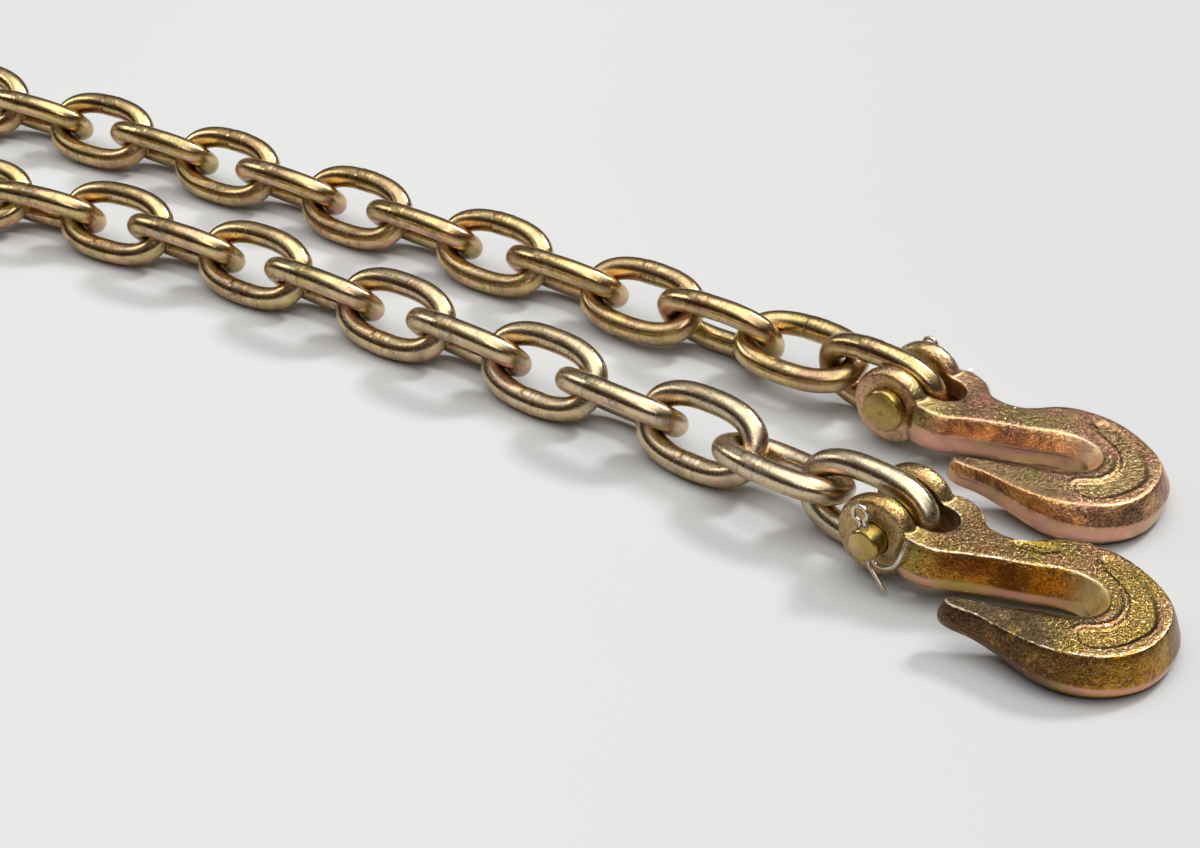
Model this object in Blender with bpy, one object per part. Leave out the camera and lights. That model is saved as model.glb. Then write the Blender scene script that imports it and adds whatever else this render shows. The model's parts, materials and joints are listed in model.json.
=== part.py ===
"""Binder chain doubled back on itself, with a clevis grab hook pinned to each end."""
import math

import bmesh
import bpy
import numpy as np
from mathutils import Matrix, Vector
from mathutils.geometry import tessellate_polygon

# Lengths are in millimetres and angles in degrees; MM turns a length into metres.
MM = 0.001

# Chain
WIRE = 9.1
INSIDE_LENGTH = 36.2
INSIDE_WIDTH = 14.8
OVAL_POWER = 2.5
PITCH = 35.4
END_PITCH = 35.1
LINK_COUNT = 45
WIRE_SIDES = 8
LINK_RINGS = 20

# How the links lean about their own length: the two runs face the camera differently
NEAR_RUN_LINKS = 12
BIGHT_LINKS = 20
NEAR_LEANS = (-51.0, 46.0)
BIGHT_LEANS = (-43.0, 50.0)
FAR_LEANS = (-44.0, 48.0)
RUN_HEIGHT = 13.9

# Lean, height and slope of the four links next to each hook, the pinned one first
PIN_HEIGHT = 16.3
END_LINKS = (
    (-80.0, PIN_HEIGHT, 0.0), (19.6, 15.8, 1.3), (-59.1, 15.0, 1.5), (40.1, 14.2, 0.7),
)

# The chain's path on the floor, seen from above: near run, hidden bight, far run
NEAR_RUN = (
    (6.4, -0.3), (-29.1, 3.0), (-64.3, 7.4), (-99.6, 10.5), (-134.9, 12.6),
    (-205.7, 14.8), (-276.5, 14.7), (-347.2, 10.9), (-382.3, 6.3), (-417.0, -0.6),
)
BIGHT = (
    (-449.5, -14.5), (-502.0, -60.5), (-554.0, -109.0), (-619.0, -136.0), (-687.0, -119.0),
    (-726.0, -63.0), (-716.5, 6.0), (-664.0, 54.0), (-595.0, 68.0), (-525.0, 64.0),
)
FAR_RUN = (
    (-489.2, 64.5), (-454.1, 68.2), (-418.9, 71.8), (-348.2, 75.4), (-277.4, 76.9),
    (-206.6, 77.6), (-135.8, 77.7), (-100.4, 77.3), (-65.5, 76.3), (-30.8, 73.2), (0.0, 70.5),
)

# Hooks: the fork's axis runs from the pin into the hook, and the jaw turns away from it
NEAR_FORK_YAW = -2.5
FAR_FORK_YAW = -2.0
HOOK_PITCH = 5.3
JAW_TURN = 27.0
HOOK_HALF_THICKNESS = 7.2
TIP_HALF_THICKNESS = 4.2
SLOT_HALF_WIDTH = 7.9
SLOT_END = 21.0
EAR_RADIUS = 14.0
EAR_FACE = 15.0
EAR_SIDES = 32

# Clevis pin and its split cotter
PIN_RADIUS = 5.5
PIN_CLEARANCE = 0.3
PIN_SIDES = 24
PIN_HEAD_RADIUS = 7.75
PIN_HEAD_THICKNESS = 3.3
PIN_CHAMFER = 0.8
PIN_STICKS_OUT = 6.2
PIN_TO_LINK = 11.2
COTTER_WIRE = 1.5
COTTER_GAP = 0.4
COTTER_HOLE_RADIUS = 2.1
COTTER_INSET = 3.2
COTTER_TURN = -23.0

GOLD = (0.60, 0.45, 0.20, 1.0)
COPPER_GOLD = (0.66, 0.44, 0.27, 1.0)
OLIVE_GOLD = (0.58, 0.46, 0.24, 1.0)
BRIGHT_STEEL = (0.62, 0.60, 0.55, 1.0)

# Derived sizes
HALF_LENGTH = (INSIDE_LENGTH + WIRE) / 2.0
HALF_WIDTH = (INSIDE_WIDTH + WIRE) / 2.0
EQUAL_AREA_RADIUS = math.sqrt(
    math.pi * (WIRE / 2.0) ** 2 / (WIRE_SIDES / 2.0 * math.sin(2.0 * math.pi / WIRE_SIDES))
)
BEND_LEVER = 1.2 - HALF_WIDTH


def clear_scene():
    for item in list(bpy.data.objects):
        bpy.data.objects.remove(item, do_unlink=True)


def metal(name, color, roughness):
    material = bpy.data.materials.new(name)
    material.use_nodes = True
    shader = material.node_tree.nodes["Principled BSDF"]
    shader.inputs["Base Color"].default_value = color
    shader.inputs["Metallic"].default_value = 1.0
    shader.inputs["Roughness"].default_value = roughness
    return material


def add_object(name, mesh, parent, material=None):
    item = bpy.data.objects.new(name, mesh)
    bpy.context.scene.collection.objects.link(item)
    item.parent = parent
    if material is not None and not mesh.materials:
        mesh.materials.append(material)
    return item


def mesh_from_bmesh(name, shape, smooth_angle=None):
    bmesh.ops.recalc_face_normals(shape, faces=shape.faces)
    mesh = bpy.data.meshes.new(name)
    shape.to_mesh(mesh)
    shape.free()
    mesh.transform(Matrix.Scale(MM, 4))
    if smooth_angle is not None:
        mesh.shade_smooth()
        mesh.set_sharp_from_angle(angle=math.radians(smooth_angle))
    return mesh


def bridge_rings(shape, rings, closed):
    """Join rings of equal length with quads, round to the first ring again if closed."""
    count = len(rings)
    pairs = [(index, (index + 1) % count) for index in range(count if closed else count - 1)]
    for first, second in pairs:
        size = len(rings[first])
        for side in range(size):
            after = (side + 1) % size
            shape.faces.new((
                rings[first][side], rings[first][after],
                rings[second][after], rings[second][side],
            ))


def cap_rings(shape, rings):
    """Close both ends of a stack of rings, also where their outline is hollow."""
    for ring in (rings[0], rings[-1]):
        for corners in tessellate_polygon([[vert.co.copy() for vert in ring]]):
            shape.faces.new([ring[corner] for corner in corners])


def smooth_curve(points, samples):
    """Read a natural cubic through the points, of any dimension, at even spacing."""
    knots = np.array(points, dtype=float)
    spans = np.linalg.norm(np.diff(knots[:, :2], axis=0), axis=1)
    count = len(knots)
    matrix = np.eye(count)
    right = np.zeros_like(knots)
    for row in range(1, count - 1):
        before = spans[row - 1]
        after = spans[row]
        matrix[row, row - 1:row + 2] = (before, 2.0 * (before + after), after)
        rise_after = (knots[row + 1] - knots[row]) / after
        rise_before = (knots[row] - knots[row - 1]) / before
        right[row] = 6.0 * (rise_after - rise_before)
    bends = np.linalg.solve(matrix, right)
    curve = []
    for row in range(count - 1):
        span = spans[row]
        for part in range(samples):
            ahead = part / samples * span
            behind = span - ahead
            curve.append(
                (bends[row] * behind ** 3 + bends[row + 1] * ahead ** 3) / (6.0 * span)
                + (knots[row] / span - bends[row] * span / 6.0) * behind
                + (knots[row + 1] / span - bends[row + 1] * span / 6.0) * ahead
            )
    curve.append(knots[-1])
    return np.array(curve)


def link_mesh():
    """One chain link: a many-sided wire bent into an oval with bowed rails."""
    path = []
    for step in range(LINK_RINGS):
        angle = 2.0 * math.pi * (step + 0.5) / LINK_RINGS
        along = math.copysign(abs(math.cos(angle)) ** (2.0 / OVAL_POWER), math.cos(angle))
        across = math.copysign(abs(math.sin(angle)) ** (2.0 / OVAL_POWER), math.sin(angle))
        out = Vector((
            math.copysign(abs(along) ** (OVAL_POWER - 1.0), along) / HALF_LENGTH,
            math.copysign(abs(across) ** (OVAL_POWER - 1.0), across) / HALF_WIDTH,
            0.0,
        ))
        point = Vector((HALF_LENGTH * along, HALF_WIDTH * across, 0.0))
        path.append((point, out.normalized()))
    shape = bmesh.new()
    rings = []
    for point, out in path:
        ring = []
        for side in range(WIRE_SIDES):
            angle = 2.0 * math.pi * (side + 0.5) / WIRE_SIDES
            offset = out * math.cos(angle) + Vector((0.0, 0.0, math.sin(angle)))
            ring.append(shape.verts.new(point + offset * EQUAL_AREA_RADIUS))
        rings.append(ring)
    bridge_rings(shape, rings, closed=True)
    return mesh_from_bmesh("link", shape, smooth_angle=50.0)


def links_to_hook(index):
    """How many links lie between this one and the nearer hook."""
    return min(index - 1, LINK_COUNT - index)


def run_lean(index):
    """Lean of a link about its own length, away from the hooks."""
    if index <= NEAR_RUN_LINKS:
        leans = NEAR_LEANS
    elif index <= NEAR_RUN_LINKS + BIGHT_LINKS:
        leans = BIGHT_LEANS
    else:
        leans = FAR_LEANS
    return leans[0] if index % 2 else leans[1]


def walk_joints():
    """Step along the path by each link's pitch, from the near hook to the far one."""
    route = smooth_curve(NEAR_RUN + BIGHT + FAR_RUN, 60)
    joints = [route[0]]
    place = 0
    for index in range(1, LINK_COUNT + 1):
        pitch = END_PITCH if links_to_hook(index) < 2 else PITCH
        here = joints[-1]
        while np.linalg.norm(route[place + 1] - here) < pitch:
            place += 1
        low, high = 0.0, 1.0
        step = route[place + 1] - route[place]
        for _ in range(40):
            middle = (low + high) / 2.0
            if np.linalg.norm(route[place] + step * middle - here) < pitch:
                low = middle
            else:
                high = middle
        joints.append(route[place] + step * high)
    return np.array(joints)


def bend_lift(lean, turn_before, turn_after):
    """Height that a link takes up in a bend, so that it clears its neighbours' rails."""
    bend = (math.sin(turn_before / 2.0) + math.sin(turn_after / 2.0)) / 2.0
    return BEND_LEVER * math.sin(lean) * math.cos(lean) * bend


def place_links(parent, material):
    """Lay the links in their leaning rows; in a bend, every second one rides higher."""
    joints = walk_joints()
    steps = np.diff(joints, axis=0)
    headings = np.unwrap(np.arctan2(steps[:, 1], steps[:, 0]))
    turns = np.concatenate(([0.0], np.diff(headings), [0.0]))
    mesh = link_mesh()
    for index in range(1, LINK_COUNT + 1):
        if links_to_hook(index) < len(END_LINKS):
            lean, height, slope = END_LINKS[links_to_hook(index)]
            lean = math.radians(lean)
            slope = math.copysign(math.radians(slope), LINK_COUNT / 2.0 - index)
        else:
            lean = math.radians(run_lean(index))
            height = RUN_HEIGHT + bend_lift(lean, turns[index - 1], turns[index])
            slope = 0.0
        middle = (joints[index - 1] + joints[index]) / 2.0
        link = add_object("link_%02d" % index, mesh, parent, material)
        link.location = (middle[0] * MM, middle[1] * MM, height * MM)
        link.rotation_euler = (lean, slope, headings[index - 1])
    return joints


def fork_to_jaw(x, y):
    """Turn a point of the fork's frame into the jaw's frame."""
    turn = math.radians(JAW_TURN)
    return (
        x * math.cos(turn) + y * math.sin(turn),
        -x * math.sin(turn) + y * math.cos(turn),
    )


def jaw_to_fork(u, v):
    turn = math.radians(JAW_TURN)
    return (
        u * math.cos(turn) - v * math.sin(turn),
        u * math.sin(turn) + v * math.cos(turn),
    )


def hook_outline():
    """The hook's outline: its mid-height edge, its top edge and the top's height there.

    Each row is (u, v) at mid-height, (u, v) on top and the half-thickness, in the jaw's
    frame, going from the fork's far side round the bend, the tip and the throat.
    """
    thick = HOOK_HALF_THICKNESS
    rows = []

    def fork(x, y, top_x, top_y):
        rows.append((*fork_to_jaw(x, y), *fork_to_jaw(top_x, top_y), thick))

    def jaw(u, v, top_u, top_v, half=thick):
        rows.append((u, v, top_u, top_v, half))

    # far cheek and shoulder
    fork(-3.0, 13.2, -3.0, 12.8)
    fork(4.0, 14.2, 4.0, 13.7)
    fork(8.8, 15.2, 9.4, 14.2)
    fork(12.5, 17.7, 13.0, 15.7)
    fork(18.0, 18.4, 17.6, 15.4)
    fork(25.0, 14.8, 23.4, 12.0)
    fork(30.0, 10.4, 28.0, 7.6)
    # far side of the shank and the bend
    jaw(35.5, -6.4, 34.0, -9.3)
    jaw(49.6, -3.2, 49.6, -5.9)
    jaw(61.0, -2.4, 60.4, -5.3)
    jaw(72.0, -6.4, 69.9, -8.9)
    jaw(82.5, -15.2, 78.6, -16.9)
    jaw(88.6, -24.5, 84.2, -26.2)
    jaw(90.1, -33.8, 85.3, -34.5)
    jaw(88.5, -42.6, 84.0, -42.0)
    jaw(85.4, -50.0, 81.0, -48.6)
    jaw(81.6, -55.8, 77.8, -53.0)
    jaw(76.3, -60.6, 73.4, -56.6)
    jaw(69.0, -64.2, 67.2, -60.0)
    jaw(59.5, -65.6, 59.0, -61.7)
    # outer side of the arm, out to the tip
    jaw(49.5, -63.8, 49.0, -60.6, 6.6)
    jaw(40.5, -58.8, 39.8, -55.9, 5.3)
    jaw(33.0, -53.4, 32.3, -51.1, 4.7)
    jaw(27.2, -50.0, 26.8, -47.9, 4.5)
    jaw(21.4, -47.9, 21.8, -46.0, 4.4)
    jaw(17.4, -45.4, 18.9, -44.6, TIP_HALF_THICKNESS)
    jaw(16.4, -42.2, 18.0, -42.7, TIP_HALF_THICKNESS)
    # inner side of the arm
    jaw(18.8, -39.8, 19.8, -41.5, TIP_HALF_THICKNESS)
    jaw(24.0, -39.7, 24.2, -42.2, 4.9)
    jaw(31.0, -39.5, 31.0, -43.6, 5.8)
    jaw(40.0, -39.2, 40.4, -45.6, 6.8)
    jaw(49.0, -38.9, 50.0, -46.9)
    # closed end of the throat
    jaw(55.5, -38.8, 58.4, -45.8)
    jaw(60.45, -36.75, 64.6, -41.5)
    jaw(62.5, -31.8, 67.0, -33.6)
    jaw(60.45, -26.85, 64.2, -26.1)
    jaw(55.5, -24.8, 57.0, -21.7)
    # near side of the shank
    jaw(46.0, -24.8, 46.2, -21.2)
    jaw(34.0, -24.8, 34.2, -21.5)
    jaw(23.0, -24.9, 25.0, -22.0)
    # near shoulder and cheek
    fork(26.0, -15.6, 25.6, -12.6)
    fork(22.0, -18.2, 21.8, -14.8)
    fork(17.0, -18.9, 17.2, -15.7)
    fork(12.0, -17.6, 12.6, -15.6)
    fork(8.8, -15.2, 9.4, -14.2)
    fork(4.0, -14.2, 4.0, -13.7)
    fork(-3.0, -13.2, -3.0, -12.8)
    return rows


def hook_body_mesh():
    """Loft the drop-forged body: a draft down from the flat, an upright band, a foot."""
    curve = smooth_curve(hook_outline(), 2)
    # share of the draft taken, and share of the half-thickness, ring by ring from below
    profile = ((0.6, -1.0), (0.0, -0.55), (0.0, 0.05), (0.42, 0.73), (1.0, 1.0))
    shape = bmesh.new()
    rings = []
    for inset, rise in profile:
        ring = []
        for u, v, top_u, top_v, half in curve:
            x, y = jaw_to_fork(u + (top_u - u) * inset, v + (top_v - v) * inset)
            ring.append(shape.verts.new((x, y, half * rise)))
        rings.append(ring)
    bridge_rings(shape, rings, closed=False)
    cap_rings(shape, rings)
    return mesh_from_bmesh("hook", shape, smooth_angle=35.0)


def turned_mesh(name, profile, sides):
    """Turn a closed (y, radius) profile about the Y axis."""
    shape = bmesh.new()
    verts = [shape.verts.new((radius, y, 0.0)) for y, radius in profile]
    edges = [shape.edges.new(pair) for pair in zip(verts, verts[1:])]
    bmesh.ops.spin(
        shape, geom=verts + edges, axis=(0.0, 1.0, 0.0), cent=(0.0, 0.0, 0.0),
        angle=2.0 * math.pi, steps=sides, use_merge=True,
    )
    bmesh.ops.remove_doubles(shape, verts=shape.verts, dist=0.001)
    return mesh_from_bmesh(name, shape, smooth_angle=40.0)


def ear_mesh(side):
    """One ear of the fork: a thick disc with a rounded rim."""
    inner = SLOT_HALF_WIDTH - 2.0
    profile = (
        (inner, 0.0), (inner, 10.8), (SLOT_HALF_WIDTH, 11.6), (SLOT_HALF_WIDTH + 0.6, 13.0),
        (9.6, 13.7), (11.4, EAR_RADIUS), (13.2, 13.6), (14.4, 12.7), (EAR_FACE, 11.3),
        (EAR_FACE, 0.0),
    )
    return turned_mesh("ear", [(side * y, radius) for y, radius in profile], EAR_SIDES)


def slot_mesh():
    """Cutter for the fork's slot, with a round inner end."""
    centre = SLOT_END - SLOT_HALF_WIDTH
    outline = [(-40.0, SLOT_HALF_WIDTH), (-40.0, -SLOT_HALF_WIDTH)]
    for step in range(13):
        angle = -math.pi / 2.0 + math.pi * step / 12
        outline.append((
            centre + SLOT_HALF_WIDTH * math.cos(angle),
            SLOT_HALF_WIDTH * math.sin(angle),
        ))
    shape = bmesh.new()
    rings = [[shape.verts.new((x, y, z)) for x, y in outline] for z in (-20.0, 20.0)]
    bridge_rings(shape, rings, closed=False)
    cap_rings(shape, rings)
    return mesh_from_bmesh("slot", shape)


def pin_hole_mesh():
    radius = PIN_RADIUS + PIN_CLEARANCE
    profile = ((-40.0, 0.0), (-40.0, radius), (40.0, radius), (40.0, 0.0))
    return turned_mesh("pin_hole", profile, PIN_SIDES)


def guide(name, mesh, parent):
    """A hidden shape that a Boolean reads."""
    item = add_object(name, mesh, parent)
    item.hide_render = True
    item.display_type = "WIRE"
    return item


def add_boolean(target, other, operation):
    modifier = target.modifiers.new(other.name, "BOOLEAN")
    modifier.operation = operation
    modifier.solver = "EXACT"
    modifier.object = other


def build_hook(name, body_mesh, pivot, material):
    hook = add_object("hook_" + name, body_mesh, pivot, material)
    for label, side in (("near", -1.0), ("far", 1.0)):
        ear = guide("ear_%s_%s" % (label, name), ear_mesh(side), pivot)
        add_boolean(hook, ear, "UNION")
    add_boolean(hook, guide("slot_" + name, slot_mesh(), pivot), "DIFFERENCE")
    add_boolean(hook, guide("pin_hole_" + name, pin_hole_mesh(), pivot), "DIFFERENCE")
    return hook


def build_pin(name, pivot, cotter_side, material):
    """A headed pin with a cross hole near its other end."""
    seat = EAR_FACE + PIN_CLEARANCE
    head_end = seat + PIN_HEAD_THICKNESS
    tail = EAR_FACE + PIN_STICKS_OUT
    profile = (
        (head_end, 0.0), (head_end, PIN_HEAD_RADIUS - PIN_CHAMFER),
        (head_end - PIN_CHAMFER, PIN_HEAD_RADIUS), (seat, PIN_HEAD_RADIUS),
        (seat, PIN_RADIUS), (-tail + PIN_CHAMFER, PIN_RADIUS),
        (-tail, PIN_RADIUS - PIN_CHAMFER), (-tail, 0.0),
    )
    placed = [(-cotter_side * y, radius) for y, radius in profile]
    pin = add_object("pin_" + name, turned_mesh("pin", placed, PIN_SIDES), pivot, material)
    shape = bmesh.new()
    bmesh.ops.create_cone(
        shape, cap_ends=True, segments=12, radius1=COTTER_HOLE_RADIUS,
        radius2=COTTER_HOLE_RADIUS, depth=4.0 * PIN_RADIUS,
    )
    hole = guide("cotter_hole_" + name, mesh_from_bmesh("cotter_hole", shape), pivot)
    hole.location.y = cotter_side * (tail - COTTER_INSET) * MM
    hole.rotation_euler.y = math.radians(COTTER_TURN)
    add_boolean(pin, hole, "DIFFERENCE")
    return pin


def cotter_path(cotter_side):
    """Middle line of the split cotter: one leg, round the eye and down the other.

    The middle number of each point says how far the wire stands out from the cross hole.
    """
    half = (COTTER_WIRE + COTTER_GAP) / 2.0
    top = PIN_RADIUS + 1.9
    eye = 2.6
    path = [
        (14.9, -0.2, 0.9), (13.4, 1.2, -2.4), (11.0, 1.5, -5.6), (7.6, 0.7, -7.8),
        (4.0, 0.2, -8.3), (half + 0.5, 0.0, -7.2), (half, 0.0, -5.0), (half, 0.0, 0.0),
        (half, 0.0, top - 0.8),
    ]
    centre = top + eye
    first = math.radians(-66.0)
    for step in range(11):
        angle = first + (2.0 * math.pi - 2.0 * (math.pi / 2.0 + first)) * step / 10
        path.append((eye * math.cos(angle), 0.0, centre + eye * math.sin(angle)))
    path += [
        (-half, 0.0, top - 0.8), (-half, 0.0, 0.0), (-half, 0.0, -6.0), (-half + 0.4, 0.2, -8.4),
        (0.8, 0.6, -10.9), (2.3, 1.0, -13.4), (3.7, 1.4, -16.0),
    ]
    return [(x, cotter_side * out, z) for x, out, z in path]


def swept_wire_mesh(name, path, radius, sides):
    """A round wire along a path, kept from twisting."""
    points = [Vector(point) for point in path]
    tangents = []
    for index in range(len(points)):
        before = points[max(index - 1, 0)]
        after = points[min(index + 1, len(points) - 1)]
        tangents.append((after - before).normalized())
    normal = Vector((0.0, 1.0, 0.0))
    shape = bmesh.new()
    rings = []
    for point, tangent in zip(points, tangents):
        normal = (normal - tangent * normal.dot(tangent)).normalized()
        across = tangent.cross(normal)
        ring = []
        for side in range(sides):
            angle = 2.0 * math.pi * side / sides
            offset = normal * math.cos(angle) + across * math.sin(angle)
            ring.append(shape.verts.new(point + offset * radius))
        rings.append(ring)
    bridge_rings(shape, rings, closed=False)
    cap_rings(shape, rings)
    return mesh_from_bmesh(name, shape, smooth_angle=60.0)


def build_cotter(name, pivot, cotter_side, material):
    mesh = swept_wire_mesh("cotter", cotter_path(cotter_side), COTTER_WIRE / 2.0, 8)
    cotter = add_object("cotter_" + name, mesh, pivot, material)
    cotter.location.y = cotter_side * (EAR_FACE + PIN_STICKS_OUT - COTTER_INSET) * MM
    cotter.rotation_euler.y = math.radians(COTTER_TURN)
    return cotter


def add_pivot(name, parent, pin_centre, yaw):
    """An empty on a hook's pin; the hook, its pin and its cotter hang from it."""
    pivot = add_object("pivot_" + name, None, parent)
    pivot.location = (pin_centre[0] * MM, pin_centre[1] * MM, PIN_HEIGHT * MM)
    pivot.rotation_euler = (0.0, math.radians(HOOK_PITCH), math.radians(yaw))
    return pivot


def pin_place(joints, end):
    """Where the pin stands in the last link's crown."""
    if end == "near":
        middle = (joints[0] + joints[1]) / 2.0
        along = joints[0] - joints[1]
    else:
        middle = (joints[-1] + joints[-2]) / 2.0
        along = joints[-1] - joints[-2]
    return middle + along / np.linalg.norm(along) * PIN_TO_LINK


def move_to_base_centre(root):
    """Put the origin under the middle of everything, on the floor."""
    bpy.context.view_layer.update()
    graph = bpy.context.evaluated_depsgraph_get()
    corners = []
    for item in bpy.data.objects:
        if item.type == "MESH" and not item.hide_render:
            seen = item.evaluated_get(graph)
            matrix = np.array(seen.matrix_world)
            points = np.array([vertex.co for vertex in seen.data.vertices])
            points = points @ matrix[:3, :3].T + matrix[:3, 3]
            corners.append(points.min(axis=0))
            corners.append(points.max(axis=0))
    low = np.min(corners, axis=0)
    high = np.max(corners, axis=0)
    root.location = (-(low[0] + high[0]) / 2.0, -(low[1] + high[1]) / 2.0, -low[2])
    bpy.context.view_layer.update()


def main():
    clear_scene()
    root = add_object("chain_frame", None, None)
    link_metal = metal("chromate_gold", GOLD, 0.28)
    hook_metal = metal("chromate_copper", COPPER_GOLD, 0.38)
    pin_metal = metal("chromate_olive", OLIVE_GOLD, 0.25)
    cotter_metal = metal("bright_steel", BRIGHT_STEEL, 0.22)
    joints = place_links(root, link_metal)
    body_mesh = hook_body_mesh()
    for name, yaw, cotter_side in (("near", NEAR_FORK_YAW, -1.0), ("far", FAR_FORK_YAW, 1.0)):
        pivot = add_pivot(name, root, pin_place(joints, name), yaw)
        build_hook(name, body_mesh, pivot, hook_metal)
        build_pin(name, pivot, cotter_side, pin_metal)
        build_cotter(name, pivot, cotter_side, cotter_metal)
    move_to_base_centre(root)


main()
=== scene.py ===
"""Dress the laid tie-down chain: plated links, forged clevis grab hooks, pins and cotters."""

import json
import math

import bmesh
import bpy
import numpy as np
from bpy.props import FloatProperty, FloatVectorProperty, PointerProperty
from mathutils import Matrix, Vector
from mathutils.geometry import tessellate_polygon


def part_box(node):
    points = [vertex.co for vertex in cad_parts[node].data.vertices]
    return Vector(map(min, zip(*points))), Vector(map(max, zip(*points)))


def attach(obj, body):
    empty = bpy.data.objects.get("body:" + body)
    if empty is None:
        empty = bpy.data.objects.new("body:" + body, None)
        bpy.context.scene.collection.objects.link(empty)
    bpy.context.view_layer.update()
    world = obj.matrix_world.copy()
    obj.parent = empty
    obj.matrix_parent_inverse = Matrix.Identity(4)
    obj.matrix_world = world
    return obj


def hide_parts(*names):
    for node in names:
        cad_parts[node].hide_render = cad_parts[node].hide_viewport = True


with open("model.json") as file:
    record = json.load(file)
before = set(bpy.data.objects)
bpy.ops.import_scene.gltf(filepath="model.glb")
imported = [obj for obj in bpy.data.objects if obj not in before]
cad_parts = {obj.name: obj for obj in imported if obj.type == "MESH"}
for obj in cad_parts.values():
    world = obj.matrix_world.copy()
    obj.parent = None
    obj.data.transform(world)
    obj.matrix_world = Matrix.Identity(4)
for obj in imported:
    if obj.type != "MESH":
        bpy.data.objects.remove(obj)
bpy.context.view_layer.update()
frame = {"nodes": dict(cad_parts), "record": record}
RECORD = frame["record"]

bl_info = {
    "name": "Tie-Down Chain Dressing",
    "version": (1, 0, 0),
    "blender": (4, 5, 0),
    "location": "3D View > Sidebar > Chain",
    "description": "Plated links, forged hooks, pins and cotters around a packed frame",
    "category": "Object",
}

# Millimetres to metres
MM = 0.001

# The chain's rows, counted from the near hook
LINK_COUNT = 45
NEAR_ROW_END = 12
FAR_ROW_START = 33

# Camera and floor, in millimetres in the frame
CAMERA_PLACE = (605.7, -529.35, 418.03)
CAMERA_AIM = (193.1, 38.55, 0.23)
SENSOR_WIDTH = 36.0
FLOOR_SIZE = 40000.0

# How far a hook is pitched, its jaw turned from its fork and its cotter turned, in degrees
HOOK_PITCH = 5.3
JAW_TURN = 27.0
COTTER_TURN = -23.0

# Shape of a link's oval, and how far along a rail its middle stretch reaches
OVAL_POWER = 2.5
RAIL_REACH = 9.0

# Steps along a rail, round a crown and round the wire
RAIL_STEPS = 30
CROWN_STEPS = 24
WIRE_SIDES = 28
COTTER_SIDES = 14

# A weld's seams, the dip between them, its play along the rail and the wire's waves, in millimetres
SEAM_WIDTH = 0.45
SEAM_HEIGHT = 0.08
DIP_WIDTH = 0.5
DIP_DEPTH = 0.05
WELD_PLAY = 1.2
WIRE_WAVE = 0.03

# Where a hook's draft gets so wide that it turns into a round saddle, in millimetres
SADDLE_INSET = 4.5
SADDLE_BLEND = 3.0

# An ear's rounding and its reach into the slot before that is cut, in millimetres
EAR_ROUNDING = 2.7
EAR_OVERLAP = 2.0

# How far the shapes that cut slot and pin hole reach past the hook, in millimetres
CUT_REACH = 40.0
CUT_HEIGHT = 20.0

# The pin's play in its hole and the gap under its head, in millimetres
PIN_PLAY = 0.3
HEAD_GAP = 0.3

# Places in the plane of a hook's jaw and the height of the pads' lip, in millimetres
THROAT_CENTRE = (57.0, -32.0)
OVAL_PAD_CENTRE = (43.5, -12.2)
OVAL_PAD_HALF = (8.0, 2.9)
LIP_HEIGHT = 0.3

# How fine the markings of the wire, the forgings and the small parts are, in waves a metre
SHIMMER_WAVES = 75.0
STREAK_WAVES = 420.0
BLOTCH_WAVES = 190.0
SCUFF_WAVES = 900.0
PIT_WAVES = 800.0
DRAWN_WAVES = 1500.0
DENT_WAVES = 210.0
GRAIN_WAVES = 1050.0
COARSE_WAVES = 570.0
STRIPE_WAVES = 700.0
TINT_WAVES = 60.0
CLOUD_WAVES = 85.0
STAIN_WAVES = 150.0
SCALE_WAVES = 260.0
TRACE_WAVES = 300.0
POLISH_WAVES = 1400.0
PAPER_WAVES = 9.0

# How fine the patches of each plating are, in waves a metre
LINK_PATCHES = 60.0
HOOK_PATCHES = 46.0
PIN_PATCHES = 90.0

# How far the noise of one object, or of one side of a link, is from the next one's
OBJECT_SPREAD = 40.0
DRIFT_SPREAD = 45.0

# Colours that a finish is mixed with or multiplied by
# Dims the painted reflection of the floor on the links' undersides
UNDERSIDE_REFLECTION_DIMMING = (0.88, 0.74, 0.66)
BAND_DIMMING = (0.90, 0.74, 0.66)
# Painted shade that darkens the hooks' flats
FLAT_PAINTED_SHADE = (0.50, 0.46, 0.47)
CLOUD_DARK = (0.60, 0.55, 0.62)
CLOUD_LIGHT = (1.30, 1.26, 1.00)
GRAIN_DARK = (0.56, 0.50, 0.44)
GRAIN_LIGHT = (1.32, 1.28, 1.20)
PIT_BLACK = (0.02, 0.015, 0.01)
SCALE_BLACK = (0.06, 0.042, 0.032)
SPECK_BROWN = (0.09, 0.055, 0.03)
PIN_OLIVE = (0.42, 0.29, 0.09)
PIN_GREEN = (0.44, 0.40, 0.09)
PIN_COPPER = (0.54, 0.35, 0.21)

# Light of the room
WALL_FOOT = (0.035, 0.022, 0.014)
WALL_DARK = (0.075, 0.052, 0.036)
WALL_LIGHT = (0.20, 0.185, 0.165)
CEILING = (0.55, 0.54, 0.52)
OVERHEAD = (2.95, 2.92, 2.85)

# Painted shade: the paper gets darker along this direction on the floor, up to this far, in metres
SHADE_DIRECTION = (0.81, 0.59, 0.0)
SHADE_REACH = 0.55


# Properties

def length_property(name, description, default, lowest):
    """A length, given here in millimetres"""
    return FloatProperty(
        name=name, description=description, default=default * MM, min=lowest * MM,
        subtype="DISTANCE", unit="LENGTH",
    )


def band_property(name, description, default, lowest, highest):
    """A height in a hook's side, as a share of the half thickness"""
    return FloatProperty(
        name=name, description=description + ", as a share of the half thickness",
        default=default, min=lowest, max=highest,
    )


def colour_property(name, description, default):
    return FloatVectorProperty(
        name=name, description=description, default=default, size=3, min=0.0, max=1.0, subtype="COLOR",
    )


def strength_property(name, description, default):
    return FloatProperty(name=name, description=description, default=default, min=0.0)


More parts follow.
